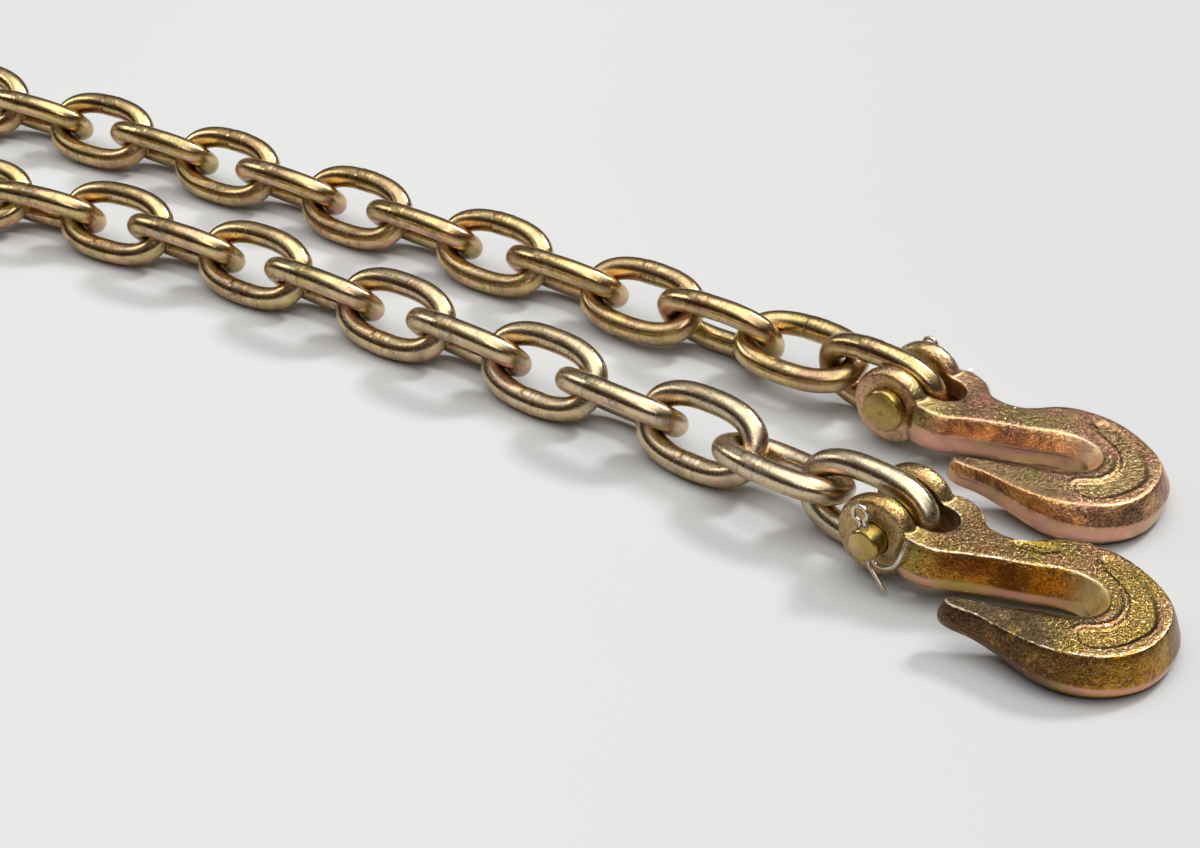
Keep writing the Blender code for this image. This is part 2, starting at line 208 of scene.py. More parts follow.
class LinkSizes(bpy.types.PropertyGroup):
    """Sizes of one welded link"""

    wire: length_property("Wire", "Diameter of the round wire", 9.0, 1.0)
    inside_length: length_property("Inside length", "Length of the hole inside a link", 35.6, 5.0)
    inside_width: length_property("Inside width", "Width of the hole inside a link", 14.6, 2.0)
    weld_length: length_property("Weld length", "Length of the dressed butt weld along the rail", 6.0, 0.5)
    weld_swell: length_property("Weld swell", "How far the weld stands proud of the wire", 0.14, 0.0)


class HookSizes(bpy.types.PropertyGroup):
    """Sizes of a forged clevis grab hook"""

    half_thickness: length_property("Half thickness", "From the parting plane to a flat side", 7.2, 1.0)
    near_band_top: band_property("Near band top", "Top of the near hook's band", -0.30, -0.5, 0.5)
    far_band_top: band_property("Far band top", "Top of the far hook's band", 0.10, -0.5, 0.5)
    band_foot: band_property("Band foot", "Foot of the band", -0.55, -0.9, -0.5)
    slot_half_width: length_property("Slot half width", "Half the gap between the ears", 7.9, 1.0)
    slot_end: length_property("Slot end", "From the pin's axis to the slot's round end", 21.0, 5.0)
    ear_radius: length_property("Ear radius", "Radius of the fork's round ears", 14.0, 5.0)
    ear_face: length_property("Ear face", "From the hook's middle to an ear's outer face", 15.0, 5.0)
    pad_depth: length_property("Pad depth", "How far the bare pads are sunk into the flats", 0.55, 0.0)
    voxel: length_property("Voxel", "Cell size that the forged skin is rebuilt at", 0.5, 0.2)


class PinSizes(bpy.types.PropertyGroup):
    """Sizes of a clevis pin and its split cotter"""

    radius: length_property("Pin radius", "Radius of the pin's shank", 5.5, 1.0)
    head_radius: length_property("Head radius", "Radius of the pin's head", 7.75, 1.0)
    head_thickness: length_property("Head thickness", "Thickness of the pin's head", 3.3, 0.5)
    chamfer: length_property("Chamfer", "Bevel at the pin's two ends", 0.8, 0.1)
    sticks_out: length_property("Sticks out", "How far the pin's tail stands out of the ear", 6.2, 1.0)
    cotter_wire: length_property("Cotter wire", "Thickness of the cotter's wire", 1.5, 0.3)
    cotter_inset: length_property("Cotter inset", "From the pin's tail end to the cotter's middle", 3.2, 0.5)


class PlatingColours(bpy.types.PropertyGroup):
    """Colours of the yellow plating and of the worn steel under it"""

    gold: colour_property("Gold", "Main colour of the plated wire", (0.73, 0.50, 0.22))
    khaki: colour_property("Khaki", "Greener patches of the plating", (0.55, 0.43, 0.16))
    bronze: colour_property("Bronze", "Browner patches of the plating", (0.50, 0.30, 0.15))
    rose: colour_property("Rose", "Pink shimmer of the plating", (0.68, 0.41, 0.34))
    green: colour_property("Green", "Yellow-green shimmer of the plating", (0.50, 0.49, 0.16))
    brown: colour_property("Brown", "Dark stains in the plating", (0.14, 0.09, 0.05))
    worn: colour_property("Worn steel", "Silver steel where the plating is rubbed away", (0.62, 0.57, 0.50))
    copper: colour_property("Copper", "Main colour of the far hook", (0.66, 0.43, 0.27))
    olive: colour_property("Olive", "Main colour of the near hook", (0.45, 0.32, 0.155))


class StudioSettings(bpy.types.PropertyGroup):
    """Floor, light and lens"""

    lens: FloatProperty(
        name="Lens", description="Focal length of the camera, in millimetres",
        default=69.0, min=10.0, unit="CAMERA",
    )
    key_power: strength_property("Key light", "Power of the softbox behind the chain, in watts", 48.0)
    side_power: strength_property("Side light", "Power of the softbox on the left, in watts", 6.0)
    front_power: strength_property("Front light", "Power of the softbox over the camera, in watts", 3.5)
    room: strength_property("Room light", "Strength of the light from the room", 0.80)
    floor_colour: colour_property("Floor", "Colour of the paper floor", (0.565, 0.572, 0.580))


# Node helpers

def feed(tree, socket, value):
    """Give a socket a number or colour, or link it to another node's output."""
    if isinstance(value, bpy.types.NodeSocket):
        tree.links.new(value, socket)
    elif socket.type == "RGBA":
        socket.default_value = (*value, 1.0)
    else:
        socket.default_value = value


def add_node(tree, kind, settings=None, **inputs):
    node = tree.nodes.new(kind)
    for key, value in (settings or {}).items():
        setattr(node, key, value)
    for key, value in inputs.items():
        feed(tree, node.inputs[key], value)
    return node


def calculate(tree, operation, first, second, clamp=False):
    node = add_node(tree, "ShaderNodeMath", {"operation": operation, "use_clamp": clamp})
    feed(tree, node.inputs[0], first)
    feed(tree, node.inputs[1], second)
    return node.outputs[0]


def times(tree, first, second):
    return calculate(tree, "MULTIPLY", first, second)


def plus(tree, first, second, clamp=False):
    return calculate(tree, "ADD", first, second, clamp)


def rest_of(tree, share):
    """What is left of 1 when a share is taken away."""
    return calculate(tree, "SUBTRACT", 1.0, share, True)


def weighted(tree, base, *terms):
    """A base to which each term is added by its weight."""
    for term, weight in terms:
        base = plus(tree, base, times(tree, term, weight))
    return base


def reach_along(tree, vector, direction):
    """How far a vector reaches along a direction."""
    node = add_node(tree, "ShaderNodeVectorMath", {"operation": "DOT_PRODUCT"})
    feed(tree, node.inputs[0], vector)
    feed(tree, node.inputs[1], direction)
    return node.outputs["Value"]


def drawn_out(tree, vector, scale):
    """A space squeezed along one axis, so that noise in it is drawn out along that axis."""
    node = add_node(tree, "ShaderNodeMapping", {"vector_type": "POINT"}, Vector=vector, Scale=scale)
    return node.outputs["Vector"]


def noise(tree, vector, scale, detail, roughness, offset=0.0, distortion=0.0):
    """Noise in waves a metre. Its offset tells like pieces apart, or like patterns on one piece."""
    node = add_node(
        tree, "ShaderNodeTexNoise", {"noise_dimensions": "4D"},
        Vector=vector, W=offset, Scale=scale, Detail=detail, Roughness=roughness,
        Distortion=distortion,
    )
    return node.outputs["Fac"]


def ramp(tree, factor, low, high, smooth=True):
    """Map low..high of a factor onto 0..1."""
    node = add_node(
        tree, "ShaderNodeMapRange",
        {"interpolation_type": "SMOOTHSTEP" if smooth else "LINEAR", "clamp": True},
        Value=factor,
    )
    node.inputs["From Min"].default_value = low
    node.inputs["From Max"].default_value = high
    return node.outputs["Result"]


def blend_colours(tree, factor, first, second, mode="MIX"):
    node = add_node(tree, "ShaderNodeMix", {"data_type": "RGBA", "blend_type": mode})
    colour_sockets = [item for item in node.inputs if item.type == "RGBA"]
    feed(tree, node.inputs[0], factor)
    feed(tree, colour_sockets[0], first)
    feed(tree, colour_sockets[1], second)
    return [item for item in node.outputs if item.type == "RGBA"][0]


def bump(tree, height, distance, strength, normal=None):
    """Height to surface, its distance in millimetres, over another bump where one is given."""
    node = add_node(tree, "ShaderNodeBump", Height=height, Distance=distance * MM, Strength=strength)
    if normal is not None:
        tree.links.new(normal, node.inputs["Normal"])
    return node.outputs["Normal"]


def object_space(tree):
    return tree.nodes.new("ShaderNodeTexCoord").outputs["Object"]


def attribute(tree, name, output="Fac"):
    return add_node(tree, "ShaderNodeAttribute", {"attribute_name": name}).outputs[output]


def new_metal(name):
    """A metal's material and nodes, object space, and a number of each object's own for its noise."""
    material = bpy.data.materials.new(name)
    material.use_nodes = True
    tree = material.node_tree
    tree.nodes["Principled BSDF"].inputs["Metallic"].default_value = 1.0
    info = tree.nodes.new("ShaderNodeObjectInfo")
    return material, tree, object_space(tree), times(tree, info.outputs["Random"], OBJECT_SPREAD)


def set_finish(tree, colour, roughness, normal):
    shader = tree.nodes["Principled BSDF"]
    feed(tree, shader.inputs["Base Color"], colour)
    feed(tree, shader.inputs["Roughness"], roughness)
    feed(tree, shader.inputs["Normal"], normal)


# Plating

def patchy_plating(tree, vector, offset, main, second, third, scale):
    """Three plating colours in soft patches a centimetre or two across."""
    first_patch = ramp(tree, noise(tree, vector, scale, 2.0, 0.5, offset, 0.6), 0.46, 0.62)
    shifted = plus(tree, offset, 17.0)
    second_patch = ramp(tree, noise(tree, vector, scale * 1.3, 2.0, 0.5, shifted, 0.6), 0.50, 0.66)
    colour = blend_colours(tree, first_patch, main, second)
    return blend_colours(tree, second_patch, colour, third)


def rose_and_green(tree, share, dimming):
    """The plating's two shimmering colours, dimmed."""
    colours = bpy.context.scene.plating_colours
    colour = blend_colours(tree, share, colours.rose, colours.green)
    return blend_colours(tree, 1.0, colour, dimming, "MULTIPLY")


def make_link_material():
    """Glossy yellow plating on drawn wire, streaked along the wire and rubbed in places."""
    colours = bpy.context.scene.plating_colours
    material, tree, vector, offset = new_metal("plated_wire")
    under = attribute(tree, "under")
    wear = attribute(tree, "wear")
    plated = patchy_plating(
        tree, vector, offset, colours.gold, colours.khaki, colours.bronze, LINK_PATCHES,
    )
    # undersides are tinted rose and green: the plating's own tints, laid on the undersides as a painted
    # reflection of the lit floor
    shimmer = ramp(tree, noise(tree, vector, SHIMMER_WAVES, 2.0, 0.5, offset, 0.8), 0.44, 0.56)
    underside_reflection_tint = rose_and_green(tree, shimmer, UNDERSIDE_REFLECTION_DIMMING)
    plated = blend_colours(tree, times(tree, ramp(tree, under, 0.05, 0.75), 0.85), plated, underside_reflection_tint)
    # rubbed and stained streaks that follow the wire
    streak_space = drawn_out(tree, attribute(tree, "section", "Vector"), (1.0, 1.0, 0.12))
    drift = weighted(tree, offset, (attribute(tree, "drift"), DRIFT_SPREAD))
    streaks = noise(tree, streak_space, STREAK_WAVES, 5.0, 0.65, drift)
    blotches = noise(tree, vector, BLOTCH_WAVES, 4.0, 0.62, offset)
    stain = ramp(tree, weighted(tree, times(tree, streaks, 0.55), (blotches, 0.45)), 0.47, 0.59)
    stained = blend_colours(tree, times(tree, stain, 0.54), plated, colours.brown)
    scuffs = noise(tree, streak_space, SCUFF_WAVES, 4.0, 0.6, plus(tree, drift, 5.0))
    scuffed = ramp(tree, weighted(tree, scuffs, (wear, 0.16)), 0.54, 0.66)
    scuffed = times(tree, times(tree, scuffed, rest_of(tree, under)), 0.66)
    colour = blend_colours(tree, scuffed, stained, colours.worn)
    # a few small black pits
    pits = ramp(tree, noise(tree, vector, PIT_WAVES, 1.0, 0.5, offset), 0.73, 0.77)
    colour = blend_colours(tree, pits, colour, PIT_BLACK)
    # darker lines on both sides of the weld
    colour = blend_colours(tree, times(tree, attribute(tree, "seam"), 0.40), colour, colours.brown)
    fine = noise(tree, streak_space, DRAWN_WAVES, 3.0, 0.6, drift)
    roughness = weighted(tree, 0.09, (fine, 0.12), (stain, 0.12), (wear, 0.05))
    dents = noise(tree, vector, DENT_WAVES, 3.0, 0.6, offset)
    normal = bump(tree, fine, 0.05, 0.6, bump(tree, dents, 0.16, 0.5))
    set_finish(tree, colour, roughness, normal)
    return material


def make_hook_material(name, main, second, third, side, saddle_highlight_colour, painted_highlight_colour, wear):
    """Forged, shot-blasted and plated: grainy flats, clouded sides, smooth band, rubbed edges."""
    colours = bpy.context.scene.plating_colours
    material, tree, vector, offset = new_metal(name)
    flat = attribute(tree, "flat")
    band = attribute(tree, "band")
    edge = attribute(tree, "edge")
    saddle = attribute(tree, "saddle")
    body = attribute(tree, "body")
    grain = noise(tree, vector, GRAIN_WAVES, 4.0, 0.65, offset)
    # noise for the specks of painted highlight
    highlight_speck_noise = noise(tree, vector, GRAIN_WAVES, 2.0, 0.6, plus(tree, offset, 21.0))
    coarse = noise(tree, vector, COARSE_WAVES, 4.0, 0.6, offset)
    plated = patchy_plating(tree, vector, offset, main, second, third, HOOK_PATCHES)
    # the sides are clouded, and the saddle of the throat gets a bright painted highlight
    clouds = ramp(tree, noise(tree, vector, CLOUD_WAVES, 3.0, 0.6, plus(tree, offset, 3.0)), 0.42, 0.60)
    cloudy = blend_colours(tree, clouds, CLOUD_DARK, CLOUD_LIGHT)
    side_colour = blend_colours(tree, 1.0, side, cloudy, "MULTIPLY")
    zoned = blend_colours(tree, times(tree, rest_of(tree, flat), body), plated, side_colour)
    zoned = blend_colours(tree, times(tree, saddle, 0.85), zoned, saddle_highlight_colour)
    # the band is striped up and down in rose and green
    stripes = noise(tree, drawn_out(tree, vector, (1.0, 1.0, 0.04)), STRIPE_WAVES, 3.0, 0.6, offset)
    patches = noise(tree, vector, TINT_WAVES, 2.0, 0.5, plus(tree, offset, 9.0), 0.5)
    tint = ramp(tree, weighted(tree, times(tree, stripes, 0.2), (patches, 0.8)), 0.50, 0.62)
    zoned = blend_colours(tree, times(tree, band, 0.8), zoned, rose_and_green(tree, tint, BAND_DIMMING))
    # the bare pads take the second colour, and the flats are darkened by painted shade
    zoned = blend_colours(tree, times(tree, attribute(tree, "pad"), 0.75), zoned, second)
    zoned = blend_colours(tree, times(tree, flat, body), zoned, FLAT_PAINTED_SHADE, "MULTIPLY")
    # brown stains, and black scale on the arm
    # the smooth band stays clear of stains, grain, specks and painted highlight specks, and so does most of
    # the saddle, to keep its painted highlight clean
    skin_off_band_and_saddle_highlight = rest_of(tree, plus(tree, band, times(tree, saddle, 0.7), True))
    blotch = ramp(tree, noise(tree, vector, STAIN_WAVES, 4.0, 0.62, offset), 0.50, 0.66)
    stained = blend_colours(tree, times(tree, times(tree, blotch, 0.48), skin_off_band_and_saddle_highlight), zoned, colours.brown)
    scale = ramp(tree, noise(tree, vector, SCALE_WAVES, 4.0, 0.65, offset), 0.26, 0.48)
    scale = times(tree, scale, attribute(tree, "arm"))
    stained = blend_colours(tree, times(tree, scale, wear), stained, SCALE_BLACK)
    # edges rubbed down to the steel
    rub = weighted(tree, times(tree, edge, 0.62), (coarse, 1.1))
    rubbed = times(tree, ramp(tree, rub, 0.92, 1.20), wear)
    colour = blend_colours(tree, rubbed, stained, colours.worn)
    # the blasted skin's light and dark grains and brown specks, and specks of painted highlight, more of
    # them on the edges
    tone = blend_colours(tree, ramp(tree, grain, 0.38, 0.62, False), GRAIN_DARK, GRAIN_LIGHT)
    colour = blend_colours(tree, skin_off_band_and_saddle_highlight, colour, tone, "MULTIPLY")
    speck = times(tree, ramp(tree, grain, 0.50, 0.62), 0.30)
    colour = blend_colours(tree, times(tree, speck, skin_off_band_and_saddle_highlight), colour, SPECK_BROWN)
    painted_highlight_specks = times(tree, ramp(tree, highlight_speck_noise, 0.58, 0.66), skin_off_band_and_saddle_highlight)
    painted_highlight_share = plus(tree, 0.34, times(tree, edge, 0.6), True)
    painted_highlight_share = times(tree, painted_highlight_share, rest_of(tree, times(tree, scale, 0.7)))
    colour = blend_colours(tree, times(tree, painted_highlight_specks, painted_highlight_share), colour, painted_highlight_colour)
    # the skin is smooth on the band and coarsest on the sides
    skin = rest_of(tree, times(tree, band, 0.85))
    roughness = weighted(tree, 0.13, (skin, 0.05), (saddle, 0.20), (coarse, 0.08))
    steep = calculate(tree, "SUBTRACT", 1.35, times(tree, flat, 0.75))
    normal = bump(tree, times(tree, times(tree, coarse, skin), steep), 0.24, 1.0)
    normal = bump(tree, times(tree, grain, skin), 0.26, 1.0, normal)
    set_finish(tree, colour, roughness, normal)
    return material


def make_pin_material():
    """Olive plating, stained brown."""
    material, tree, vector, offset = new_metal("plated_pin")
    plated = patchy_plating(tree, vector, offset, PIN_OLIVE, PIN_GREEN, PIN_COPPER, PIN_PATCHES)
    stain = ramp(tree, noise(tree, vector, STREAK_WAVES, 5.0, 0.65, offset), 0.54, 0.70)
    brown = bpy.context.scene.plating_colours.brown
    colour = blend_colours(tree, times(tree, stain, 0.45), plated, brown)
    fine = noise(tree, vector, SCUFF_WAVES, 3.0, 0.6, offset)
    set_finish(tree, colour, weighted(tree, 0.18, (fine, 0.2)), bump(tree, fine, 0.05, 0.5))
    return material


def make_cotter_material():
    """Bright wire with a trace of plating."""
    colours = bpy.context.scene.plating_colours
    material, tree, vector, offset = new_metal("bright_cotter")
    tint = ramp(tree, noise(tree, vector, TRACE_WAVES, 3.0, 0.6, offset), 0.40, 0.65)
    colour = blend_colours(tree, times(tree, tint, 0.35), colours.worn, colours.gold)
    fine = noise(tree, vector, POLISH_WAVES, 2.0, 0.6, offset)
    set_finish(tree, colour, weighted(tree, 0.16, (fine, 0.2)), bump(tree, fine, 0.03, 0.5))
    return material


def make_floor_material():
    """Matt paper, a little darker towards the hooks' end under a painted shade."""
    base = tuple(bpy.context.scene.studio_settings.floor_colour)
    material = bpy.data.materials.new("paper_floor")
    material.use_nodes = True
    tree = material.node_tree
    shader = tree.nodes["Principled BSDF"]
    shader.inputs["Roughness"].default_value = 0.6
    shader.inputs["Specular IOR Level"].default_value = 0.2
    vector = object_space(tree)
    darker = tuple(value * 0.985 for value in base)
    shaded_paper = tuple(value * 0.86 for value in base)
    colour = blend_colours(tree, noise(tree, vector, PAPER_WAVES, 3.0, 0.5), base, darker)
    # painted shade: the paper darkens towards the hooks' end
    painted_shade_share = ramp(tree, reach_along(tree, vector, SHADE_DIRECTION), 0.0, SHADE_REACH)
    feed(tree, shader.inputs["Base Color"], blend_colours(tree, painted_shade_share, colour, shaded_paper))
    return material


# Mesh helpers

def add_piece(name, mesh, material):
    item = bpy.data.objects.new(name, mesh)
    bpy.context.scene.collection.objects.link(item)
    mesh.materials.append(material)
    return item


def ring_faces(shape, rings, closed):
    count = len(rings)
    for first in range(count if closed else count - 1):
        one = rings[first]
        two = rings[(first + 1) % count]
        for side in range(len(one)):
            after = (side + 1) % len(one)
            shape.faces.new((one[side], one[after], two[after], two[side]))


def finish_mesh(shape, name, sharp=None):
    """Turn a shape into a smooth mesh, with edges sharp past an angle in degrees if one is given."""
    bmesh.ops.recalc_face_normals(shape, faces=shape.faces)
    mesh = bpy.data.meshes.new(name)
    shape.to_mesh(mesh)
    shape.free()
    mesh.shade_smooth()
    if sharp is not None:
        mesh.set_sharp_from_angle(angle=math.radians(sharp))
    return mesh


def read_vectors(items, name):
    values = np.zeros(len(items) * 3)
    items.foreach_get(name, values)
    return values.reshape(-1, 3)


def node_axes(name):
    """Centre of a CAD link, its long direction and the one across its hole."""
    points = read_vectors(frame["nodes"][name].data.vertices, "co")
    points = np.unique(points.round(7), axis=0)
    centre = points.mean(axis=0)
    _, directions = np.linalg.eigh(np.cov((points - centre).T))
    along = directions[:, 2]
    across = directions[:, 1]
    if along[0] < 0.0:
        along = -along
    if across[2] < 0.0:
        across = -across
    return Vector(centre), Vector(along), Vector(across)


def pose_matrix(origin, along, across):
    up = along.cross(across).normalized()
    turn = Matrix((along, across, up)).transposed().to_4x4()
    return Matrix.Translation(origin) @ turn


# Links

def weld_place(index):
    """Which rail carries the weld, and how far along it sits."""
    odd = index % 2 == 1
    if index <= NEAR_ROW_END:
        return (-1.0, 0.0) if odd else (1.0, -4.5 * MM)
    if index >= FAR_ROW_START:
        return (1.0, -4.5 * MM) if odd else (1.0, 0.5 * MM)
    return (1.0, 0.0) if odd else (-1.0, 1.5 * MM)


def link_path(sizes):
    """Points and outward directions round a link's oval, with the rail each lies on."""
    half_length = (sizes.inside_length + sizes.wire) / 2.0
    half_width = (sizes.inside_width + sizes.wire) / 2.0
    power = OVAL_POWER
    reach = RAIL_REACH * MM
    turn_out = math.acos((reach / half_length) ** (power / 2.0))
    path = []

    def add(x, y, rail):
        out = Vector((
            math.copysign(abs(x / half_length) ** (power - 1.0), x) / half_length,
            math.copysign(abs(y / half_width) ** (power - 1.0), y) / half_width,
            0.0,
        ))
        path.append((Vector((x, y, 0.0)), out.normalized(), rail))

    for side in (1.0, -1.0):
        for step in range(RAIL_STEPS):
            x = side * reach * (2.0 * step / RAIL_STEPS - 1.0)
            add(x, side * half_width * (1.0 - abs(x / half_length) ** power) ** (1.0 / power), side)
        for step in range(CROWN_STEPS):
            angle = turn_out * (1.0 - 2.0 * step / CROWN_STEPS)
            x = side * half_length * math.cos(angle) ** (2.0 / power)
            y = half_width * math.copysign(abs(math.sin(angle)) ** (2.0 / power), angle)
            add(x, side * y, 0.0)
    return path


def wear_of(index):
    """How far a link's plating is rubbed: most on the near row by the hook."""
    if index <= NEAR_ROW_END:
        return 1.0 - 0.07 * index
    return 0.12 + 0.12 * (0.5 + 0.5 * math.sin(index * 2.4))


def link_mesh(name, index, sizes, pose):
    """A round wire bent into a link, with its dressed butt weld on one rail."""
    rail, place = weld_place(index)
    # an odd step along a sine scatters the welds a little either way
    jitter = math.sin(index * 12.9898) * WELD_PLAY * MM
    half_weld = sizes.weld_length / 2.0
    radius = sizes.wire / 2.0
    wear = wear_of(index)
    turn = pose.to_3x3()
    shape = bmesh.new()
    seam_layer = shape.verts.layers.float.new("seam")
    under_layer = shape.verts.layers.float.new("under")
    wear_layer = shape.verts.layers.float.new("wear")
    drift_layer = shape.verts.layers.float.new("drift")
    section_layer = shape.verts.layers.float_vector.new("section")
    rings = []
    for point, out, side in link_path(sizes):
        swell = 0.0
        seam = 0.0
        if side == rail:
            distance = abs(point.x - place - jitter)
            swell = sizes.weld_swell * math.exp(-(distance / half_weld) ** 4)
            seam = math.exp(-((distance - half_weld) / (SEAM_WIDTH * MM)) ** 2)
            dip = DIP_DEPTH * MM * math.exp(-(distance / (DIP_WIDTH * MM)) ** 2)
            swell += SEAM_HEIGHT * MM * seam - dip
        ring = []
        for step in range(WIRE_SIDES):
            angle = 2.0 * math.pi * step / WIRE_SIDES
            offset = out * math.cos(angle) + Vector((0.0, 0.0, math.sin(angle)))
            wave = WIRE_WAVE * MM * math.sin(3.0 * angle + index)
            vert = shape.verts.new(point + offset * (radius + swell + wave))
            vert[seam_layer] = seam
            vert[under_layer] = min(max(-(turn @ offset).z * 1.3 + 0.1, 0.0), 1.0)
            vert[wear_layer] = wear
            vert[drift_layer] = point.y
            vert[section_layer] = (radius * math.cos(angle), radius * math.sin(angle), point.x)
            ring.append(vert)
        rings.append(ring)
    ring_faces(shape, rings, closed=True)
    return finish_mesh(shape, name)


class CHAIN_OT_dress_links(bpy.types.Operator):
    """Lay a round-wire link with its weld over each of the frame's links"""

    bl_idname = "chain.dress_links"
    bl_label = "Dress links"

    def execute(self, context):
        sizes = context.scene.link_sizes
        material = make_link_material()
        for index in range(1, LINK_COUNT + 1):
            node = "link_%02d" % index
            centre, along, across = node_axes(node)
            name = "welded_link_%02d" % index
            pose = pose_matrix(centre, along, across)
            mesh = link_mesh(name, index, sizes, pose)
            mesh.transform(pose)
            link = add_piece(name, mesh, material)
            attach(link, "chain")
            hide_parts(node)
        return {"FINISHED"}


# Hooks

def fork_to_jaw(x, y):
    turn = math.radians(JAW_TURN)
    return x * math.cos(turn) + y * math.sin(turn), -x * math.sin(turn) + y * math.cos(turn)


def jaw_to_fork(u, v):
    turn = math.radians(JAW_TURN)
    return u * math.cos(turn) - v * math.sin(turn), u * math.sin(turn) + v * math.cos(turn)


def hook_outline(thick):
    """The forging's outline: edge at the band, edge of the flat and half thickness."""
    rows = []

    def fork(x, y, top_x, top_y):
        rows.append((*fork_to_jaw(x, y), *fork_to_jaw(top_x, top_y), thick))

    def jaw(u, v, top_u, top_v, half=thick):
        rows.append((u, v, top_u, top_v, half))

    # far cheek and shoulder
    fork(-3.0, 13.2, -3.0, 12.8)
    fork(4.0, 14.2, 4.0, 13.7)
    fork(8.8, 15.2, 9.4, 14.2)
    fork(12.5, 17.7, 13.0, 15.7)
    fork(18.0, 18.4, 17.6, 15.4)
    fork(25.0, 14.8, 23.4, 12.0)
    fork(30.0, 10.4, 28.0, 7.6)
    # far side of the shank and the bend
    jaw(35.5, -6.4, 34.0, -9.3)
    jaw(49.6, -3.2, 49.6, -5.9)
    jaw(61.0, -2.4, 60.4, -5.3)
    jaw(72.0, -6.4, 69.9, -8.9)
    jaw(82.5, -15.2, 78.6, -16.9)
    jaw(88.6, -24.5, 84.2, -26.2)
    jaw(90.1, -33.8, 85.3, -34.5)
    jaw(88.5, -42.6, 84.0, -42.0)
    jaw(85.4, -50.0, 81.0, -48.6)
    jaw(81.6, -55.8, 77.8, -53.0)
    jaw(76.3, -60.6, 73.4, -56.6)
    jaw(69.0, -64.2, 67.2, -60.0)
    jaw(59.5, -65.6, 59.0, -61.7)
    # outer side of the arm, out to the tip
    jaw(49.5, -63.8, 49.0, -60.6, 6.6)
    jaw(40.5, -58.8, 39.8, -55.9, 5.3)
    jaw(33.0, -53.4, 32.3, -51.1, 4.7)
    jaw(27.2, -50.0, 26.8, -47.9, 4.5)
    jaw(21.4, -47.9, 21.8, -46.0, 4.4)
    jaw(17.4, -45.4, 18.9, -44.6, 4.2)
    jaw(16.4, -42.2, 18.0, -42.7, 4.2)
    # inner side of the arm
    jaw(18.8, -39.8, 19.8, -41.5, 4.2)
    jaw(24.0, -39.7, 24.2, -42.2, 4.9)
    jaw(31.0, -39.5, 31.0, -43.6, 5.8)
    jaw(40.0, -39.2, 40.4, -45.6, 6.8)
    jaw(49.0, -38.9, 50.0, -46.9)
    # closed end of the throat
    jaw(55.5, -38.8, 58.4, -45.8)
    jaw(60.45, -36.75, 64.6, -41.5)
    jaw(62.5, -31.8, 67.0, -33.6)
    jaw(60.45, -26.85, 64.2, -26.1)
    jaw(55.5, -24.8, 57.0, -21.7)
    # near side of the shank
    jaw(46.0, -24.8, 46.2, -21.2)
    jaw(34.0, -24.8, 34.2, -21.5)
    jaw(23.0, -24.9, 25.0, -22.0)
    # near shoulder and cheek
    fork(26.0, -15.6, 25.6, -12.6)
    fork(22.0, -18.2, 21.8, -14.8)
    fork(17.0, -18.9, 17.2, -15.7)
    fork(12.0, -17.6, 12.6, -15.6)
    fork(8.8, -15.2, 9.4, -14.2)
    fork(4.0, -14.2, 4.0, -13.7)
    fork(-3.0, -13.2, -3.0, -12.8)
    return rows


def smooth_curve(points, samples):
    """Read a natural cubic through the points, of any dimension, at even spacing."""
    knots = np.array(points, dtype=float)
    spans = np.linalg.norm(np.diff(knots[:, :2], axis=0), axis=1)
    count = len(knots)
    matrix = np.eye(count)
    right = np.zeros_like(knots)
    for row in range(1, count - 1):
        before = spans[row - 1]
        after = spans[row]
        matrix[row, row - 1:row + 2] = (before, 2.0 * (before + after), after)
        rise_after = (knots[row + 1] - knots[row]) / after
        rise_before = (knots[row] - knots[row - 1]) / before
        right[row] = 6.0 * (rise_after - rise_before)
    bends = np.linalg.solve(matrix, right)
    curve = []
    for row in range(count - 1):
        span = spans[row]
        for part in range(samples):
            ahead = part / samples * span
            behind = span - ahead
            curve.append(
                (bends[row] * behind ** 3 + bends[row + 1] * ahead ** 3) / (6.0 * span)
                + (knots[row] / span - bends[row] * span / 6.0) * behind
                + (knots[row + 1] / span - bends[row + 1] * span / 6.0) * ahead
            )
    curve.append(knots[-1])
    return np.array(curve)


def hook_body(sizes, band_top):
    """Loft the forging in millimetres: underside, upright band, draft, rounded edge, flat."""
    thick = sizes.half_thickness / MM
    foot = sizes.band_foot
    curve = smooth_curve(hook_outline(thick), samples=5)
    # ring by ring from below: how far in along a straight draft, how far in along a round
    # saddle, and the height as a share of the half thickness
    levels = [(0.72, 0.72, -1.0), (0.50, 0.50, -0.97), (0.30, 0.30, -0.88), (0.10, 0.10, -0.70)]
    levels += [(0.0, 0.0, foot), (0.0, 0.0, (foot + band_top) / 2.0)]
    steps = 12
    # above the band the draft is straight for most of its height and rounds over at the edge
    for step in range(steps + 1):
        rise = min(step / steps * 1.06, 1.0)
        straight = rise * 0.86 + 0.14 * rise ** 8
        saddle = 1.0 - math.sqrt(1.0 - rise * rise)
        levels.append((straight, saddle, band_top + (1.0 - band_top) * rise))
    shape = bmesh.new()
    rings = []
    for straight, saddle, height in levels:
        ring = []
        for u, v, top_u, top_v, half in curve:
            inset = math.hypot(top_u - u, top_v - v)
            soft = min(max((inset - SADDLE_INSET) / SADDLE_BLEND, 0.0), 1.0)
            taken = straight * (1.0 - soft) + saddle * soft
            x, y = jaw_to_fork(u + (top_u - u) * taken, v + (top_v - v) * taken)
            ring.append(shape.verts.new((x, y, half * height)))
        rings.append(ring)
    ring_faces(shape, rings, closed=False)
    for ring in (rings[0], rings[-1]):
        points = [vert.co.copy() for vert in ring]
        for corners in tessellate_polygon([points]):
            shape.faces.new([ring[corner] for corner in corners])
    return finish_mesh(shape, "hook_body")


